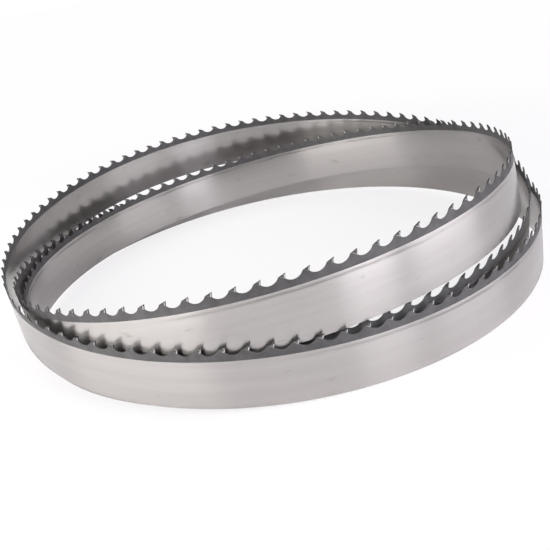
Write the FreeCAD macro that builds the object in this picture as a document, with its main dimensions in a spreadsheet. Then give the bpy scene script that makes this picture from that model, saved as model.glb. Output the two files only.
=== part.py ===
import FreeCAD, Part
import math
import os
import Sketcher
from FreeCAD import Base

# Endless band saw blade, folded into three loops and lying on its back edge, teeth up.
# The strip runs through the three loops once round: loop one climbs at the front and passes
# over loop two, and loop two climbs at the rear and passes over loop three. Lengths are in
# millimetres and angles in degrees.

SIZES = [
    # the strip and its teeth, measured from the tips; tooth_start is where along the strip
    # the first tip sits
    ("band_width", 76.0),
    ("band_thickness", 1.1),
    ("tooth_count", 266),
    ("tooth_start", 4.5),
    ("gullet_depth", 9.0),
    ("gullet_lean", 0.45),
    ("face_height", 5.7),
    ("hook_angle", 15.0),
    ("land_run", 8.0),
    ("land_angle", 19.0),
    # the carbide tip of each tooth
    ("tip_run", 6.4),
    ("tip_width", 1.9),
    # the coil: mean radius, then how far and where the strip sways out of a true circle,
    # by the number of swings in its three loops
    ("coil_radius", 350.4),
    ("sway_once", 15.8),
    ("sway_once_at", -24.6),
    ("sway_twice", 5.4),
    ("sway_twice_at", 94.7),
    ("sway_thrice", 16.3),
    ("sway_thrice_at", 97.9),
    ("sway_four", 5.9),
    ("sway_four_at", 25.8),
    ("sway_five", 3.5),
    ("sway_five_at", 114.2),
    ("sway_six", 2.5),
    ("sway_six_at", 31.4),
    # how far and where it rises and falls
    ("lift_once", 9.0),
    ("lift_once_at", 163.5),
    ("lift_twice", 40.0),
    ("lift_twice_at", -155.9),
    ("lift_thrice", 12.4),
    ("lift_thrice_at", 37.2),
    ("lift_four", 12.1),
    ("lift_four_at", 37.3),
    ("lift_five", 2.7),
    ("lift_five_at", -99.9),
    ("lift_six", 0.9),
    ("lift_six_at", 148.1),
]

# The strip closes on itself after three turns; its path is measured in small steps.
LOOPS = 3
FULL_PATH = LOOPS * 2.0 * math.pi
PATH_STEPS = 3000
SWINGS = ("once", "twice", "thrice", "four", "five", "six")


def make_sheet(doc):
    sheet = doc.addObject("Spreadsheet::Sheet", "sizes")
    for row, (name, value) in enumerate(SIZES, 1):
        sheet.set("A%d" % row, name)
        sheet.set("B%d" % row, str(value))
        sheet.setAlias("B%d" % row, name)
    doc.recompute()
    return sheet


def waves(sheet, kind):
    return [(getattr(sheet, kind + "_" + n), getattr(sheet, kind + "_" + n + "_at")) for n in SWINGS]


class Coil:
    """The middle line of the strip, and the strip's own directions along it."""

    def __init__(self, sheet):
        self.radius = sheet.coil_radius
        self.sways = waves(sheet, "sway")
        self.lifts = waves(sheet, "lift")
        self.lengths = [0.0]
        step = FULL_PATH / PATH_STEPS
        for i in range(PATH_STEPS):
            speed = self.frame((i + 0.5) * step)[4]
            self.lengths.append(self.lengths[-1] + speed * step)
        self.length = self.lengths[-1]

    def wave_sum(self, parts, angle):
        value, slope, bend = 0.0, 0.0, 0.0
        for count, (size, at) in enumerate(parts, 1):
            rate = count / LOOPS
            turn = rate * angle - math.radians(at)
            value += size * math.cos(turn)
            slope -= size * rate * math.sin(turn)
            bend -= size * rate ** 2 * math.cos(turn)
        return value, slope, bend

    def frame(self, angle):
        # The strip cannot bend in its own plane, so its width stands square to the curve
        # of its middle line.
        out, out1, out2 = self.wave_sum(self.sways, angle)
        out += self.radius
        up, up1, up2 = self.wave_sum(self.lifts, angle)
        c, s = math.cos(angle), math.sin(angle)
        point = FreeCAD.Vector(out * c, out * s, up)
        first = FreeCAD.Vector(out1 * c - out * s, out1 * s + out * c, up1)
        second = FreeCAD.Vector(out2 * c - 2 * out1 * s - out * c, out2 * s + 2 * out1 * c - out * s, up2)
        speed = first.Length
        across = first.cross(second).normalize()
        along = FreeCAD.Vector(first).normalize()
        return point, along, along.cross(across), across, speed

    def angle_at(self, distance):
        laps = math.floor(distance / self.length)
        rest = distance - laps * self.length
        low, high = 0, PATH_STEPS
        while high - low > 1:
            middle = (low + high) // 2
            if self.lengths[middle] > rest:
                high = middle
            else:
                low = middle
        share = (rest - self.lengths[low]) / (self.lengths[high] - self.lengths[low])
        return laps * FULL_PATH + FULL_PATH * (low + share) / PATH_STEPS

    def edge(self, start, end, side, height):
        # One run of an edge of the strip, as a smooth curve that keeps its end directions.
        tiny = 1e-4
        ends = []
        for angle in (start, end):
            here, ahead, behind = [self.offset(angle + d, side, height) for d in (0.0, tiny, -tiny)]
            ends.append((here, (ahead - behind) * ((end - start) / (6.0 * tiny))))
        curve = Part.BezierCurve()
        curve.setPoles([ends[0][0], ends[0][0] + ends[0][1], ends[1][0] - ends[1][1], ends[1][0]])
        return curve.toShape()

    def offset(self, angle, side, height):
        point, along, outward, across, speed = self.frame(angle)
        return point + outward * side + across * height


def drop(run, angle):
    return run * math.tan(math.radians(angle))


def rounded(start, handle, end, shares):
    points = []
    for t in shares:
        x = start[0] * (1 - t) ** 2 + 2 * handle[0] * t * (1 - t) + end[0] * t ** 2
        y = start[1] * (1 - t) ** 2 + 2 * handle[1] * t * (1 - t) + end[1] * t ** 2
        points.append((x, y))
    return points


def tooth_outline(sheet, pitch):
    # From the back of one tip to the back of the next: tip seat, round gullet, sloping land.
    # Each point is a distance ahead of the first tip and a depth below it.
    seat = (-sheet.tip_run, drop(sheet.tip_run, sheet.land_angle))
    foot = (-drop(sheet.face_height, sheet.hook_angle), sheet.face_height)
    knee = (pitch - sheet.land_run, drop(sheet.land_run, sheet.land_angle))
    deepest = (foot[0] + sheet.gullet_lean * (knee[0] - foot[0]), sheet.gullet_depth)
    down = (0.5 * (foot[0] + deepest[0]), sheet.gullet_depth)
    rise = (0.45 * deepest[0] + 0.55 * knee[0], sheet.gullet_depth)
    last = (pitch - sheet.tip_run, seat[1])
    gullet = rounded(foot, down, deepest, (0.0, 0.5, 1.0)) + rounded(deepest, rise, knee, (0.4, 0.7, 1.0))
    return [seat] + gullet + [last]


def strip_side(coil, sheet, pitch, start, end, side, outline):
    # One pitch of a face of the strip, trimmed to the tooth outline.
    half = sheet.band_width / 2.0
    patch = Part.makeRuledSurface(coil.edge(start, end, side, -half), coil.edge(start, end, side, half))
    surface = patch.Surface
    left, right, low, high = surface.bounds()

    def on_patch(ahead, depth):
        across = left + (right - left) * (ahead + sheet.tip_run) / pitch
        return Base.Vector2d(across, high - (high - low) * depth / sheet.band_width)

    corners = [on_patch(ahead, depth) for ahead, depth in outline]
    corners += [Base.Vector2d(right, low), Base.Vector2d(left, low)]
    edges = []
    for a, b in zip(corners, corners[1:] + corners[:1]):
        edges.append(Part.Geom2d.Line2dSegment(a, b).toShape(surface))
    face = Part.Face(Part.Wire(edges))
    rims = edges[:len(outline) - 1] + [edges[len(outline)]]
    return face, rims


def make_band(doc, sheet, coil, pitch):
    outline = tooth_outline(sheet, pitch)
    half = sheet.band_thickness / 2.0
    faces = []
    for tooth in range(sheet.tooth_count):
        behind = sheet.tooth_start + tooth * pitch - sheet.tip_run
        start = coil.angle_at(behind)
        end = coil.angle_at(behind + pitch)
        inner, inner_rims = strip_side(coil, sheet, pitch, start, end, -half, outline)
        outer, outer_rims = strip_side(coil, sheet, pitch, start, end, half, outline)
        faces += [inner, outer]
        faces += [Part.makeRuledSurface(a, b) for a, b in zip(inner_rims, outer_rims)]
    solid = Part.makeSolid(Part.makeShell(faces))
    if solid.Volume < 0:
        solid.reverse()
    band = doc.addObject("Part::Feature", "blade_band")
    band.Label = "blade_band"
    band.Shape = solid
    return band


def make_tip_blank(doc):
    # One carbide tip, its cutting point at the origin and the blade running along +X: the
    # land on top, the hooked face in front and the brazed seat below and behind.
    body = doc.addObject("PartDesign::Body", "tip_blank")
    sketch = body.newObject("Sketcher::SketchObject", "tip_outline")
    plane = [f for f in body.Origin.OriginFeatures if f.Role == "XZ_Plane"][0]
    sketch.AttachmentSupport = [(plane, "")]
    sketch.MapMode = "FlatFace"
    corners = [FreeCAD.Vector(0, 0, 0), FreeCAD.Vector(-6, -2, 0), FreeCAD.Vector(-2, -5, 0)]
    for a, b in zip(corners, corners[1:] + corners[:1]):
        sketch.addGeometry(Part.LineSegment(a, b), False)
    for i in range(3):
        sketch.addConstraint(Sketcher.Constraint("Coincident", i, 2, (i + 1) % 3, 1))
    sketch.addConstraint(Sketcher.Constraint("Coincident", 0, 1, -1, 1))
    run = sketch.addConstraint(Sketcher.Constraint("DistanceX", 0, 2, 0, 1, 6.0))
    fall = sketch.addConstraint(Sketcher.Constraint("DistanceY", 0, 2, 0, 1, 2.0))
    lead = sketch.addConstraint(Sketcher.Constraint("DistanceX", 1, 2, 0, 1, 2.0))
    face = sketch.addConstraint(Sketcher.Constraint("DistanceY", 1, 2, 0, 1, 5.0))
    sketch.setExpression("Constraints[%d]" % run, "sizes.tip_run")
    sketch.setExpression("Constraints[%d]" % fall, "sizes.tip_run * tan(sizes.land_angle * 1 deg)")
    sketch.setExpression("Constraints[%d]" % lead, "sizes.face_height * tan(sizes.hook_angle * 1 deg)")
    sketch.setExpression("Constraints[%d]" % face, "sizes.face_height")
    doc.recompute()
    pad = body.newObject("PartDesign::Pad", "tip_pad")
    pad.Profile = sketch
    pad.Midplane = True
    pad.setExpression("Length", "sizes.tip_width")
    doc.recompute()
    return body


def make_tips(doc, sheet, coil, pitch, blank):
    # The same tip on every tooth, turned to the strip where it sits.
    solids = []
    middle = sheet.tip_run / 2.0
    for tooth in range(sheet.tooth_count):
        distance = sheet.tooth_start + tooth * pitch - middle
        point, along, outward, across, speed = coil.frame(coil.angle_at(distance))
        corner = point + across * (sheet.band_width / 2.0) + along * middle
        turn = FreeCAD.Rotation(along, outward * -1.0, across, "ZXY")
        tip = blank.Shape.copy()
        tip.Placement = FreeCAD.Placement(corner, turn)
        solids += tip.Solids
    tips = doc.addObject("Part::Feature", "carbide_tips")
    tips.Label = "carbide_tips"
    tips.Shape = Part.makeCompound(solids)
    return tips


def check(doc, pieces):
    for item in doc.Objects:
        if "Invalid" in item.State or "Error" in item.State:
            raise RuntimeError("not built: " + item.Name)
    for piece in pieces:
        if piece.Shape.isNull() or not piece.Shape.isValid():
            raise RuntimeError("bad shape: " + piece.Label)


def main():
    doc = FreeCAD.newDocument("band_saw_blade")
    sheet = make_sheet(doc)
    coil = Coil(sheet)
    pitch = coil.length / sheet.tooth_count
    band = make_band(doc, sheet, coil, pitch)
    blank = make_tip_blank(doc)
    tips = make_tips(doc, sheet, coil, pitch, blank)

    # The coil stands on its lowest back edge, with the origin under its middle.
    box = band.Shape.BoundBox
    box.add(tips.Shape.BoundBox)
    stand = FreeCAD.Placement(FreeCAD.Vector(-box.Center.x, -box.Center.y, -box.ZMin), FreeCAD.Rotation())
    for piece in (band, tips):
        piece.Placement = stand
    doc.recompute()
    check(doc, (band, tips))

    print("strip length %.1f, pitch %.3f" % (coil.length, pitch))
    os.makedirs("parts", exist_ok=True)
    for piece in (band, tips):
        piece.Shape.exportStep("parts/" + piece.Label + ".step")
        print(piece.Label, len(piece.Shape.Solids), "solids", round(piece.Shape.Volume, 1), "mm3")


main()
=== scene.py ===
import bisect
import math

import bmesh
import bpy
from mathutils import Matrix, Vector


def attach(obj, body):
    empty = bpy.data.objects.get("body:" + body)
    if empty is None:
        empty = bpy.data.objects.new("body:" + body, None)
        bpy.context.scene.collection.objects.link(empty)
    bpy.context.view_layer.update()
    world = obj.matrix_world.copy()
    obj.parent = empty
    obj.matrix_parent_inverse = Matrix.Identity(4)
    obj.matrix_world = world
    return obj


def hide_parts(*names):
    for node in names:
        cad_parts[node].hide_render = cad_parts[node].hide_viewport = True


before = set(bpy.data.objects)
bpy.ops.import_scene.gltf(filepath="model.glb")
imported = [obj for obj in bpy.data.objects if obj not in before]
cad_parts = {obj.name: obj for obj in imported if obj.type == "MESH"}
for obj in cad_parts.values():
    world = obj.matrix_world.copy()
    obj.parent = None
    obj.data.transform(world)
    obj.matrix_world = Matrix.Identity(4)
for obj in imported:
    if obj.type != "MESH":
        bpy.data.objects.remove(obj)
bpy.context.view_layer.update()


# The steel strip. Hardened and tempered spring steel, rolled to width, polished on both faces
# and welded into a ring. The hooked teeth are ground out of one edge, and the ground zone is
# left matt. The ring is folded into three loops that lie on the back edge.

strip_width = 0.076
strip_thickness = 0.0011
tooth_count = 266
tooth_start = 0.0045
loops = 3
ground_line = 0.0603
back_rounding = 0.00032
same_place = 1e-6

# The side view of one pitch: hooked face, round gullet and sloping back. Corners are given in
# pitches ahead of the tip and below it. Each rounding gives its corner, how far from it the
# arc starts, in pitches, and the steps of the arc.
pitch_from, pitch_to = -0.77, 0.23
gullet_depth = 0.361
tooth_corners = [
    (pitch_from, gullet_depth),
    (-0.506, gullet_depth),
    (-0.321, 0.1106),
    (0, 0),
    (-0.061, 0.229),
    (0.09, gullet_depth),
    (pitch_to, gullet_depth),
]
tooth_roundings = [(1, 0.22, 7), (5, 0.14, 5), (4, 0.03, 2), (2, 0.03, 2)]
columns_per_tooth = 8
row_below_ground = 0.012

# How far and where the coil sways out of a circle of this radius, and how far and where it
# rises, by the number of swings in the three loops.
coil_radius = 0.3504
sways = [
    (0.0158, -24.6), (0.0054, 94.7), (0.0163, 97.9),
    (0.0059, 25.8), (0.0035, 114.2), (0.0025, 31.4),
]
lifts = [
    (0.009, 163.5), (0.04, -155.9), (0.0124, 37.2),
    (0.0121, 37.3), (0.0027, -99.9), (0.0009, 148.1),
]
coil_stand = Vector((-0.002161, -0.020228, 0.069072))


def swing(waves, angle):
    # The sum of the swings here, its slope and its bend.
    value, slope, bend = 0.0, 0.0, 0.0
    for count, (size, at) in enumerate(waves, 1):
        rate = count / loops
        turn = rate * angle - math.radians(at)
        value += size * math.cos(turn)
        slope -= size * rate * math.sin(turn)
        bend -= size * rate ** 2 * math.cos(turn)
    return value, slope, bend


def strip_frame(angle):
    # The middle line of the strip here, the directions along it, out of it and up it, and how
    # fast it runs with the angle.
    out, out_slope, out_bend = swing(sways, angle)
    out += coil_radius
    up, up_slope, up_bend = swing(lifts, angle)
    c, s = math.cos(angle), math.sin(angle)
    point = Vector((out * c, out * s, up)) + coil_stand
    first = Vector((out_slope * c - out * s, out_slope * s + out * c, up_slope))
    second = Vector((
        out_bend * c - 2 * out_slope * s - out * c,
        out_bend * s + 2 * out_slope * c - out * s,
        up_bend))
    across = first.cross(second).normalized()
    along = first.normalized()
    return point, along, along.cross(across), across, first.length


path_steps = 6000
path_step = loops * 2 * math.pi / path_steps
run_so_far = [0.0]
for i in range(path_steps):
    speed = strip_frame((i + 0.5) * path_step)[4]
    run_so_far.append(run_so_far[-1] + speed * path_step)
strip_length = run_so_far[-1]
pitch = strip_length / tooth_count


def angle_at(distance):
    laps = math.floor(distance / strip_length)
    rest = distance - laps * strip_length
    i = min(bisect.bisect_right(run_so_far, rest) - 1, path_steps - 1)
    share = (rest - run_so_far[i]) / (run_so_far[i + 1] - run_so_far[i])
    return (laps * path_steps + i + share) * path_step


def wrap_round_coil(bm):
    # Takes straight stock, lying along x with its thickness in y and its width up z, round
    # the coil.
    places = {}
    for v in bm.verts:
        key = round(v.co.x, 7)
        if key not in places:
            places[key] = strip_frame(angle_at(v.co.x + tooth_start))
        point, _, outward, across, _ = places[key]
        v.co = point - outward * v.co.y + across * (v.co.z - strip_width / 2)


def all_of(bm):
    return bm.verts[:] + bm.edges[:] + bm.faces[:]


def only_verts(geometry):
    return [g for g in geometry if isinstance(g, bmesh.types.BMVert)]


def cut(bm, place, square_to):
    bmesh.ops.bisect_plane(bm, geom=all_of(bm), plane_co=place, plane_no=square_to)


def thicken(bm, thickness):
    made = bmesh.ops.extrude_face_region(bm, geom=bm.faces[:], use_keep_orig=True)["geom"]
    bmesh.ops.translate(bm, verts=only_verts(made), vec=(0, thickness, 0))


def mark_side_view(bm, name):
    # Keeps each corner's place in the side view of the straight stock for the material.
    uv = bm.loops.layers.uv.new(name)
    for f in bm.faces:
        for loop in f.loops:
            loop[uv].uv = (loop.vert.co.x, loop.vert.co.z)


def finish_mesh(bm, name, sharp_over):
    for f in bm.faces:
        f.smooth = True
    for e in bm.edges:
        e.smooth = not (e.is_manifold and e.calc_face_angle() > math.radians(sharp_over))
    mesh = bpy.data.meshes.new(name)
    bm.to_mesh(mesh)
    bm.free()
    piece = bpy.data.objects.new(name, mesh)
    bpy.context.collection.objects.link(piece)
    return piece


def one_tooth_of_strip():
    bm = bmesh.new()
    verts = [bm.verts.new((x * pitch, 0, strip_width - d * pitch)) for x, d in tooth_corners]
    verts += [bm.verts.new((x * pitch, 0, 0)) for x in (pitch_to, pitch_from)]
    bm.faces.new(verts)
    for corner, offset, steps in tooth_roundings:
        bmesh.ops.bevel(
            bm, geom=[verts[corner]], offset=offset * pitch, offset_type="OFFSET",
            segments=steps, profile=0.5, affect="VERTICES", material=-1)
    for k in range(1, columns_per_tooth):
        cut(bm, ((pitch_from + k / columns_per_tooth) * pitch, 0, 0), (1, 0, 0))
    for height in (ground_line, ground_line - row_below_ground):
        cut(bm, (0, 0, height), (0, 0, 1))
    return bm


def strip():
    bm = one_tooth_of_strip()
    first = all_of(bm)
    for tooth in range(1, tooth_count):
        made = bmesh.ops.duplicate(bm, geom=first)["geom"]
        bmesh.ops.translate(bm, verts=only_verts(made), vec=(tooth * pitch, 0, 0))
    bmesh.ops.remove_doubles(bm, verts=bm.verts, dist=same_place)
    bmesh.ops.triangulate(bm, faces=[f for f in bm.faces if len(f.verts) > 4])
    for f in bm.faces:
        f.normal_update()
        if f.normal.y > 0:
            f.normal_flip()
    bmesh.ops.translate(bm, verts=bm.verts, vec=(0, -strip_thickness / 2, 0))
    thicken(bm, strip_thickness)

    # The two end walls go, and the ends meet once the strip is wrapped round the coil.
    ends = (pitch_from * pitch, (tooth_count + pitch_from) * pitch)
    walls = [
        f for f in bm.faces
        if any(all(abs(v.co.x - end) < same_place for v in f.verts) for end in ends)]
    bmesh.ops.delete(bm, geom=walls, context="FACES_ONLY")
    bmesh.ops.recalc_face_normals(bm, faces=bm.faces)

    back = [
        e for e in bm.edges
        if all(v.co.z < same_place for v in e.verts)
        and abs(e.verts[0].co.y - e.verts[1].co.y) < same_place]
    bmesh.ops.bevel(
        bm, geom=back, offset=back_rounding, offset_type="OFFSET", segments=2, profile=0.5,
        affect="EDGES", material=-1)
    mark_side_view(bm, "strip")
    wrap_round_coil(bm)
    bmesh.ops.remove_doubles(bm, verts=bm.verts, dist=same_place)
    return finish_mesh(bm, "toothed_strip", 35)


class Value:
    """A number or colour in a material, with sums that add their own nodes."""

    def __init__(self, nodes, socket):
        self.nodes = nodes
        self.socket = socket

    def maths(self, operation, *values):
        settings = {"operation": operation}
        return self.nodes.node("ShaderNodeMath", settings, dict(enumerate(values)))

    def __add__(self, other): return self.maths("ADD", self, other)
    def __radd__(self, other): return self.maths("ADD", other, self)
    def __sub__(self, other): return self.maths("SUBTRACT", self, other)
    def __rsub__(self, other): return self.maths("SUBTRACT", other, self)
    def __mul__(self, other): return self.maths("MULTIPLY", self, other)
    def __rmul__(self, other): return self.maths("MULTIPLY", other, self)

    def rise(self, low, high):
        # 0 below low, 1 above high, smooth between.
        settings = {"interpolation_type": "SMOOTHSTEP"}
        return self.nodes.node("ShaderNodeMapRange", settings, {0: self, 1: low, 2: high})

    def band(self, low, high, soft):
        # 1 between low and high, 0 outside, with edges of this softness.
        return self.rise(low - soft, low + soft) * (1 - self.rise(high - soft, high + soft))


class Nodes:
    """A node tree and the one way its nodes are added."""

    def __init__(self, tree):
        self.tree = tree

    def node(self, kind, settings=None, inputs=None, out=0):
        made = self.tree.nodes.new(kind)
        for key, value in (settings or {}).items():
            setattr(made, key, value)
        self.fill(made, inputs or {})
        return Value(self, made.outputs[out])

    def fill(self, made, inputs):
        for key, value in inputs.items():
            if isinstance(value, Value):
                self.tree.links.new(value.socket, made.inputs[key])
            else:
                made.inputs[key].default_value = value

    def axes(self, vector):
        made = self.tree.nodes.new("ShaderNodeSeparateXYZ")
        self.tree.links.new(vector.socket, made.inputs[0])
        return [Value(self, s) for s in made.outputs]

    def vector(self, x, y, z):
        return self.node("ShaderNodeCombineXYZ", {}, {0: x, 1: y, 2: z})

    def noise(self, vector, scale=1.0, detail=3.0, roughness=0.5):
        return self.node("ShaderNodeTexNoise", {}, {
            "Vector": vector, "Scale": scale, "Detail": detail, "Roughness": roughness})

    def mix(self, share, a, b):
        return self.node("ShaderNodeMix", {"data_type": "RGBA"}, {0: share, 6: a, 7: b}, out=2)

    def bump(self, height, distance, strength=1.0):
        return self.node("ShaderNodeBump", {}, {
            "Height": height, "Distance": distance, "Strength": strength})


class Finish(Nodes):
    """A material, whose surface is set by name."""

    def __init__(self, name):
        self.material = bpy.data.materials.new(name)
        self.material.use_nodes = True
        super().__init__(self.material.node_tree)
        self.surface = self.tree.nodes["Principled BSDF"]
        self.output = self.tree.nodes["Material Output"]

    def set(self, **inputs):
        self.fill(self.surface, {key.replace("_", " "): value for key, value in inputs.items()})


def grey(level, warm=0.0):
    return (level * (1 + warm), level, level * (1 - warm), 1.0)


def steel_tone(level):
    # Polished steel: grey with a little more red than blue.
    return (level * 1.045, level, level * 0.98, 1.0)


to_mm = 1000


def strip_finish():
    steel = Finish("polished_and_ground_steel")
    along, height, _ = steel.axes(steel.node("ShaderNodeUVMap", {"uv_map": "strip"}))

    def streaks(per_metre_along, per_metre_up, seed, detail, roughness=0.5):
        place = steel.vector(along * per_metre_along, height * per_metre_up, seed)
        return steel.noise(place, detail=detail, roughness=roughness)

    # Lines from polishing run along the strip, broad soft ones and fine ones, under clouds and
    # smears from handling.
    broad = streaks(1.2, 90, 0.0, 4, 0.6)
    fine = streaks(5, 1400, 3.0, 2, 0.6)
    cloud = streaks(9, 26, 7.0, 3, 0.55)
    smear = streaks(16, 260, 9.0, 4, 0.65)
    waver = steel.noise(steel.vector(along * 14, 0.0, 11.0), detail=2)

    # Millimetres below the end of the grinding: a rubbed light line, a lighter band, then a
    # wavy dull streak that comes and goes.
    below = ground_line * to_mm - height * to_mm - (waver - 0.5) * 0.5
    ground = 1 - below.rise(0.3, 0.7)
    light_line = below.band(0.5, 1.2, 0.25)
    light_band = below.band(1.2, 3.4, 0.7)
    rubbed = streaks(2.6, 8, 21.0, 2).rise(0.42, 0.56)
    wavy = below + (cloud - 0.5) * 6
    dull_line = wavy.band(3.2, 6.4, 1.4) * smear.rise(0.36, 0.58) * rubbed
    smudge = streaks(22, 55, 15.0, 3, 0.6).rise(0.63, 0.76) * below.rise(2.0, 5.0)

    polish = steel.mix(broad.rise(0.3, 0.7), steel_tone(0.455), steel_tone(0.485))
    for share, over in (
            (fine.rise(0.35, 0.75) * 0.15, steel_tone(0.38)),
            (smear.rise(0.45, 0.75) * 0.15, steel_tone(0.36)),
            (smudge * 0.5, (0.25, 0.25, 0.21, 1.0)),
            (dull_line * 0.75, steel_tone(0.22)),
            (light_band * 0.04, steel_tone(0.53)),
            (light_line * rubbed * 0.5, steel_tone(0.6))):
        polish = steel.mix(share, polish, over)
    matt_cloud = streaks(60, 60, 5.0, 4, 0.65).rise(0.3, 0.7)
    matt = steel.mix(matt_cloud, (0.07, 0.068, 0.07, 1.0), (0.1, 0.096, 0.099, 1.0))
    colour = steel.mix(ground, polish, matt)
    grooves = steel.bump(fine * 0.6 + broad * 0.4, 0.00002, 0.3)
    polish_roughness = 0.2 + (cloud - 0.5) * 0.08 + (broad - 0.5) * 0.05
    ground_roughness = 0.6
    quarter_turn = 0.25
    steel.set(
        Base_Color=colour,
        Metallic=1 - ground * 0.55,
        Roughness=polish_roughness * (1 - ground) + ground * ground_roughness,
        Normal=grooves,
        Anisotropic=0.8,
        Anisotropic_Rotation=quarter_turn,
    )

    # The fine lengthwise lines also spread part of the light wide across the strip.
    spread = steel.node("ShaderNodeBsdfPrincipled", {}, {
        "Base Color": colour,
        "Metallic": 1.0,
        "Roughness": 0.38,
        "Normal": grooves,
        "Anisotropic": 1.0,
        "Anisotropic Rotation": quarter_turn,
    })
    spread_share = 0.35 * (1 - ground)
    crisp = Value(steel, steel.surface.outputs[0])
    both = steel.node("ShaderNodeMixShader", {}, {0: spread_share, 1: crisp, 2: spread})
    steel.tree.links.new(both.socket, steel.output.inputs[0])
    return steel.material


toothed_strip = strip()
toothed_strip.data.materials.append(strip_finish())
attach(toothed_strip, "root")
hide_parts("blade_band")


# The carbide tips. One small wedge of hard metal is brazed into a seat ground in each tooth,
# then ground sharp. It is wider than the strip, widest at the cutting edge, so the cut clears.

tip_run = 0.0064
tip_width = 0.0019
tip_edge_rounding = 0.00007
foot_to_edge_width = 0.78
land_angle = math.radians(19)
hook_angle = math.radians(15)
face_height = 0.0057

# The tip's corners in the side view, with the cutting edge at the origin.
land_back = Vector((-tip_run, 0, -tip_run * math.tan(land_angle)))
face_foot = Vector((-face_height * math.tan(hook_angle), 0, -face_height))


def one_tip():
    bm = bmesh.new()
    bm.faces.new([bm.verts.new(p) for p in ((0, 0, 0), land_back, face_foot)])
    thicken(bm, tip_width)
    bmesh.ops.translate(bm, verts=bm.verts, vec=(0, -tip_width / 2, 0))
    bmesh.ops.recalc_face_normals(bm, faces=bm.faces)
    for v in bm.verts:
        if v.co.z < land_back.z / 2:
            bmesh.ops.scale(bm, verts=[v], vec=(1, foot_to_edge_width, 1))
    bmesh.ops.bevel(
        bm, geom=bm.edges[:], offset=tip_edge_rounding, offset_type="OFFSET", segments=1,
        profile=0.5, affect="EDGES", material=-1)
    return bm


def on_each_tooth(bm, name, reach):
    # Copies a small piece, made with its own tooth's tip at the origin, to every tooth, and
    # turns each copy to the strip where it sits.
    first = all_of(bm)
    tooth_of = {}
    for tooth in range(1, tooth_count):
        for v in only_verts(bmesh.ops.duplicate(bm, geom=first)["geom"]):
            tooth_of[v] = tooth
    mark_side_view(bm, "side")
    turns = []
    for tooth in range(tooth_count):
        seat = tooth_start + tooth * pitch - reach / 2
        point, along, outward, across, _ = strip_frame(angle_at(seat))
        turn = Matrix((along, -outward, across)).transposed().to_4x4()
        corner = point + across * (strip_width / 2) + along * (reach / 2)
        turns.append(Matrix.Translation(corner) @ turn)
    for v in bm.verts:
        v.co = turns[tooth_of.get(v, 0)] @ v.co
    return finish_mesh(bm, name, 25)


def tip_finish():
    # Grey ground flanks, darker towards the seat, with a painted highlight: a bright stroke
    # just behind the face.
    # Depth below the edge and distance behind the face are in millimetres.
    carbide = Finish("ground_carbide")
    ahead, height, _ = carbide.axes(carbide.node("ShaderNodeUVMap", {"uv_map": "side"}))
    spot = carbide.node("ShaderNodeTexCoord", out="Object")
    grain = carbide.noise(spot, scale=900, roughness=0.6)
    uneven = carbide.noise(spot, scale=90, detail=2)
    depth = height * -to_mm
    behind = ahead * -to_mm - depth * math.tan(hook_angle)
    # Painted highlight: a bright stroke of colour where the ground flank would catch the light,
    # just behind the face.
    painted_glint = behind.band(0.5, 1.3, 0.25) * depth.band(1.3, 4.6, 0.5) * uneven.rise(0.3, 0.5)
    flank = carbide.mix(grain.rise(0.3, 0.7), grey(0.09), grey(0.15))
    flank = carbide.mix(behind.rise(2.0, 4.6) * 0.7, flank, grey(0.045))
    carbide.set(
        Base_Color=carbide.mix(painted_glint, flank, grey(0.75)),
        Metallic=0.9,
        Roughness=0.34 + (grain - 0.5) * 0.2,
        Normal=carbide.bump(grain, 0.00001, 0.5),
    )
    return carbide.material


carbide_wedges = on_each_tooth(one_tip(), "carbide_wedges", tip_run)
carbide_wedges.data.materials.append(tip_finish())
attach(carbide_wedges, "root")
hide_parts("carbide_tips")


# The braze. Silver solder runs out of the joint under each tip and sets as a small bright
# fillet along the seat, on both faces of the tooth.

fillet_radius = 0.00042
fillet_to_seat_length = 0.9


def braze_fillets():
    bm = bmesh.new()
    seat = face_foot - land_back
    middle = (land_back + face_foot) / 2
    lie = seat.to_track_quat("Z", "Y").to_matrix()
    for side in (-1, 1):
        made = bmesh.ops.create_cone(
            bm, cap_ends=True, segments=6, radius1=fillet_radius * 0.6,
            radius2=fillet_radius, depth=seat.length * fillet_to_seat_length)["verts"]
        bmesh.ops.rotate(bm, verts=made, cent=(0, 0, 0), matrix=lie)
        face = Vector((0, side * strip_thickness / 2, 0))
        bmesh.ops.translate(bm, verts=made, vec=middle + face)
    return bm


def braze_finish():
    solder = Finish("silver_solder")
    spot = solder.node("ShaderNodeTexCoord", out="Object")
    beads = solder.noise(spot, scale=1500, roughness=0.6)
    smoked = solder.noise(spot, scale=120, detail=2)
    solder.set(
        Base_Color=solder.mix(smoked.rise(0.35, 0.65), grey(0.1, 0.03), grey(0.45, 0.03)),
        Metallic=1.0,
        Roughness=0.3 + (beads - 0.5) * 0.25,
        Normal=solder.bump(beads, 0.00006, 0.6),
    )
    return solder.material


braze_seams = on_each_tooth(braze_fillets(), "braze_seams", tip_run)
braze_seams.data.materials.append(braze_finish())
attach(braze_seams, "root")


# The studio. A white sweep under and behind the coil, a ring of soft lamps that stand low
# around it, and the camera a little above, turned as the picture was taken.

floor_reach = 20
floor_drop = 0.0002


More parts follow.
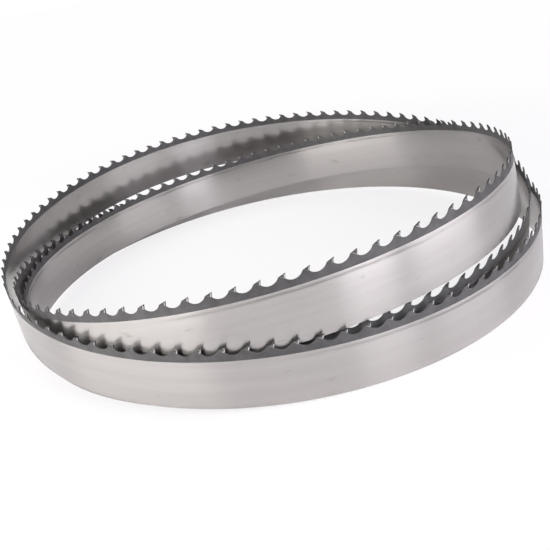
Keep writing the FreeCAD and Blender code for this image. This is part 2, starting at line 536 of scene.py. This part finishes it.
def paper_finish():
    # White paper. Seen straight it is mostly the white of the backdrop, and wholly so far from
    # the coil, while near the coil it keeps the shadow. In mirrored rays it glows a little.
    paper = Finish("white_paper")
    place = paper.node("ShaderNodeTexCoord", out="Object")
    east, north, _ = paper.axes(place)
    far_off = (east * east + north * north).rise(0.2, 1.6)
    straight = paper.node("ShaderNodeLightPath", out="Is Camera Ray")
    mirrored = paper.node("ShaderNodeLightPath", out="Is Glossy Ray")
    through = paper.node("ShaderNodeLightPath", out="Is Transmission Ray")
    white_share = straight * (0.78 + far_off * 0.22) + (mirrored + through) * 0.08
    spots = paper.noise(place, scale=30)
    paper.set(
        Base_Color=paper.mix(spots, (0.81, 0.8, 0.81, 1.0), (0.83, 0.82, 0.83, 1.0)),
        Roughness=0.9,
    )
    lit = Value(paper, paper.surface.outputs[0])
    white = paper.node("ShaderNodeEmission", {}, {
        "Color": (1.0, 0.988, 1.0, 1.0), "Strength": 1.0})
    both = paper.node("ShaderNodeMixShader", {}, {0: white_share, 1: lit, 2: white})
    paper.tree.links.new(both.socket, paper.output.inputs[0])
    return paper.material


floor_mesh = bmesh.new()
bmesh.ops.create_grid(floor_mesh, x_segments=8, y_segments=8, size=floor_reach)
bmesh.ops.translate(floor_mesh, verts=floor_mesh.verts, vec=(0, 0, -floor_drop))
floor = finish_mesh(floor_mesh, "floor", 30)
floor.data.materials.append(paper_finish())


def studio_air():
    # White where it is seen straight. In mirrored rays it is a dim room with a lighter
    # backdrop behind the coil.
    world = bpy.data.worlds.new("studio_air")
    world.use_nodes = True
    air = Nodes(world.node_tree)
    straight = air.node("ShaderNodeLightPath", out="Is Camera Ray")
    mirrored = air.node("ShaderNodeLightPath", out="Is Glossy Ray")
    _, north, up = air.axes(air.node("ShaderNodeTexCoord", out="Generated"))
    backdrop = north.rise(-0.1, 0.5) * (1 - up.rise(0.25, 0.6))
    room = 0.06 + backdrop * 0.3
    level = straight + (1 - straight) * (mirrored * room + (1 - mirrored) * 0.05)
    air.fill(air.tree.nodes["Background"], {"Strength": level, "Color": grey(1.0)})
    return world


bpy.context.scene.world = studio_air()


def soft_lamp(name, place, aim, size, watts, tint=(1.0, 1.0, 1.0), spread=180):
    lamp = bpy.data.lights.new(name, "AREA")
    lamp.color = tint
    lamp.shape = "RECTANGLE"
    lamp.size, lamp.size_y = size
    lamp.energy = watts
    lamp.spread = math.radians(spread)
    stand = bpy.data.objects.new(name, lamp)
    stand.location = place
    turn = (Vector(aim) - Vector(place)).to_track_quat("-Z", "Y")
    stand.rotation_euler = turn.to_euler()
    bpy.context.collection.objects.link(stand)


lamp_distance = 1.6
lamp_height = 1.0
warm = (1.01, 1.0, 0.965)
cool = (0.99, 0.98, 1.03)
for azimuth, up, width, watts, tint in (
        (213, 0.55, 1.75, 29, warm),
        (304, 0.8, 0.6, 15, cool),
        (338, 0.6, 0.95, 13.5, cool),
        (60, 0.55, 0.8, 6, cool),
        (120, 0.55, 0.8, 6, cool)):
    turn = math.radians(azimuth)
    place = (lamp_distance * math.cos(turn), lamp_distance * math.sin(turn), up)
    soft_lamp(f"lamp_at_{azimuth}", place, (0, 0, 0.1), (width, lamp_height), watts, tint)
soft_lamp("lamp_above", (0, 0.2, 2.4), (0, 0, 0), (2.2, 2.0), 2)

# Three narrow lamps light only the floor around the coil.
for side, place, aim, size, watts in (
        ("left", (-1.3, 0.3, 1.0), (-0.9, 0.3, 0), (0.5, 1.4), 4.5),
        ("right", (1.3, 0.3, 1.0), (0.9, 0.3, 0), (0.5, 1.4), 1.5),
        ("front", (0, -1.5, 1.0), (0, -0.9, 0), (2.4, 0.4), 4.5)):
    soft_lamp(f"floor_wash_{side}", place, aim, size, watts, spread=80)

camera_place = (-0.00914, -1.02826, 0.43228)
camera_tilt = math.radians(67.076)
camera_roll = math.radians(-10.659)
camera = bpy.data.cameras.new("camera")
camera.lens = 49.72
camera.sensor_width = 36
camera_stand = bpy.data.objects.new("camera", camera)
tilt = Matrix.Rotation(camera_tilt, 4, "X") @ Matrix.Rotation(camera_roll, 4, "Z")
camera_stand.matrix_world = Matrix.Translation(camera_place) @ tilt
bpy.context.collection.objects.link(camera_stand)
bpy.context.scene.camera = camera_stand
bpy.context.scene.view_settings.view_transform = "Standard"
